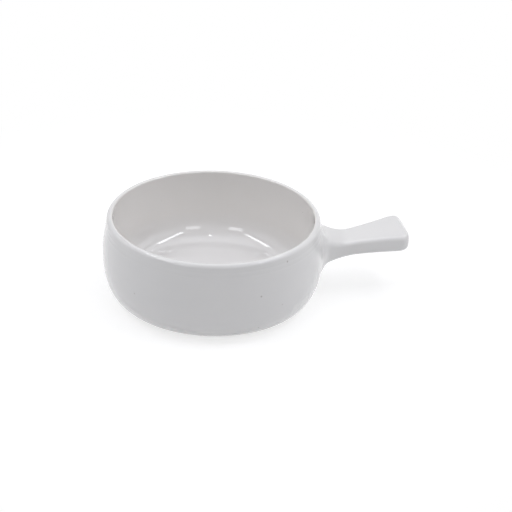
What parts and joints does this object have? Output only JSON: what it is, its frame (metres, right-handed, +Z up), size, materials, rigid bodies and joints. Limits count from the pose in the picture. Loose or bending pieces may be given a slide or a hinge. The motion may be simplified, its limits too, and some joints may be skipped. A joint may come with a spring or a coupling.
{
  "type": "handled soup bowl",
  "caption": "Round glazed stoneware soup bowl with a rounded rim, a low foot ring and one flared lug handle.",
  "frame": {"origin": "on the bowl's axis, in the plane that the foot ring stands on", "axes": "+Z up along the bowl's axis, +X along the handle away from the bowl, +Y to the left of the handle seen from above"},
  "size_m": [0.1782, 0.1272, 0.0514],
  "materials": {
    "white_glaze": "high gloss white glaze",
    "bare_clay": "matt fired stoneware, off-white"
  },
  "bodies": {
    "root": {"bowl_body": "bare_clay", "inside_glaze": "white_glaze", "outside_glaze": "white_glaze", "base_glaze": "white_glaze", "handle_slip": "bare_clay", "handle": "bare_clay", "handle_glaze": "white_glaze"}
  },
  "joints": []
}
